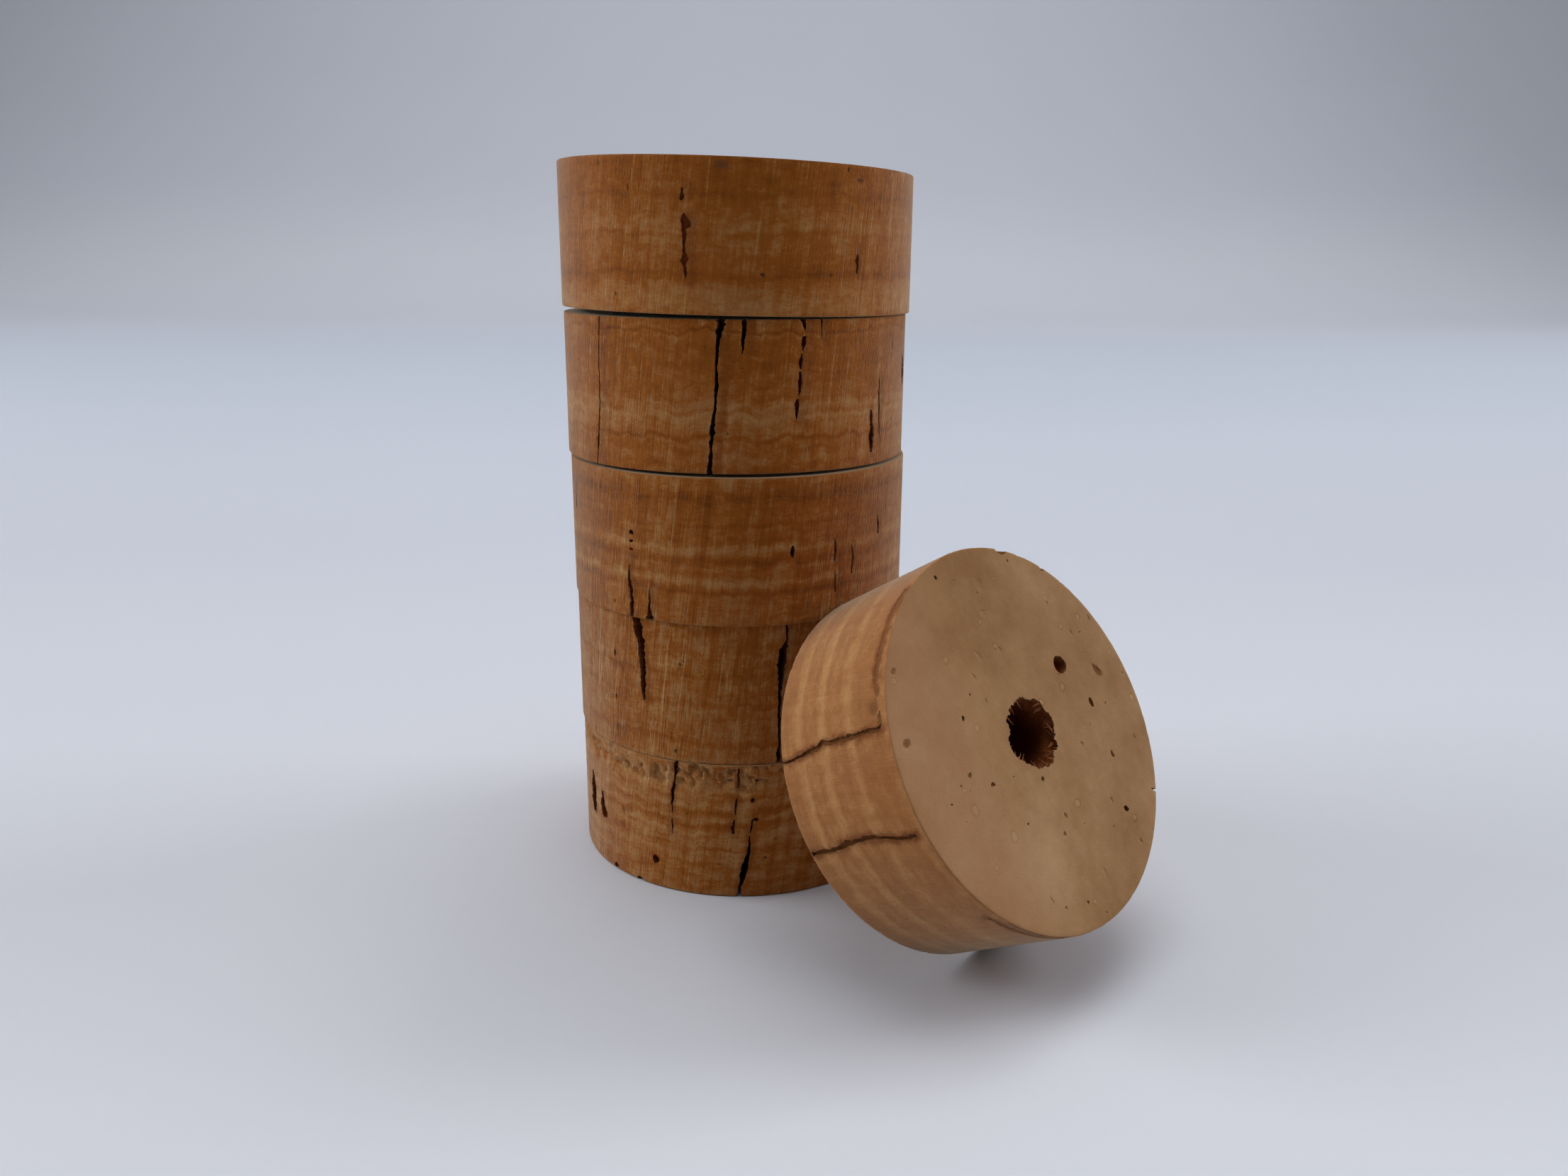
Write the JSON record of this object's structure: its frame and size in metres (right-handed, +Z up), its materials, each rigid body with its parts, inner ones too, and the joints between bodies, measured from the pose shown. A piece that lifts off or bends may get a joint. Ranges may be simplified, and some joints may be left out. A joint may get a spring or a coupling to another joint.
{
  "type": "natural cork rings",
  "caption": "Loose natural cork rings for a rod grip, bored through: a straight stack and one leaning against it.",
  "frame": {"origin": "on the axis of the stack's bore, where the bottom ring stands on the table", "axes": "+Z up along the stack's bore, -Y towards the front, where the leaning ring lies to the right"},
  "size_m": [0.0525, 0.054, 0.0646],
  "materials": {
    "natural_cork": "raw, dry and matte"
  },
  "bodies": {
    "bottom_ring": {"bottom_ring": "natural_cork"},
    "second_ring": {"second_ring": "natural_cork"},
    "third_ring": {"third_ring": "natural_cork"},
    "fourth_ring": {"fourth_ring": "natural_cork"},
    "top_ring": {"top_ring": "natural_cork"},
    "leaning_ring": {"leaning_ring": "natural_cork"}
  },
  "joints": [
    {"name": "second_ring_lift", "type": "slide", "parent": "bottom_ring", "child": "second_ring", "axis": [0, 0, 1], "range_m": [0, 0.025]},
    {"name": "third_ring_lift", "type": "slide", "parent": "second_ring", "child": "third_ring", "axis": [0, 0, 1], "range_m": [0, 0.025]},
    {"name": "fourth_ring_lift", "type": "slide", "parent": "third_ring", "child": "fourth_ring", "axis": [0, 0, 1], "range_m": [0, 0.025]},
    {"name": "top_ring_lift", "type": "slide", "parent": "fourth_ring", "child": "top_ring", "axis": [0, 0, 1], "range_m": [0, 0.025]},
    {"name": "leaning_ring_tip", "type": "hinge", "parent": "bottom_ring", "child": "leaning_ring", "pos_m": [0.02141, -0.02359, 0.00025], "axis": [0.7314, 0.682, 0], "range_deg": [0, 30.5]}
  ]
}
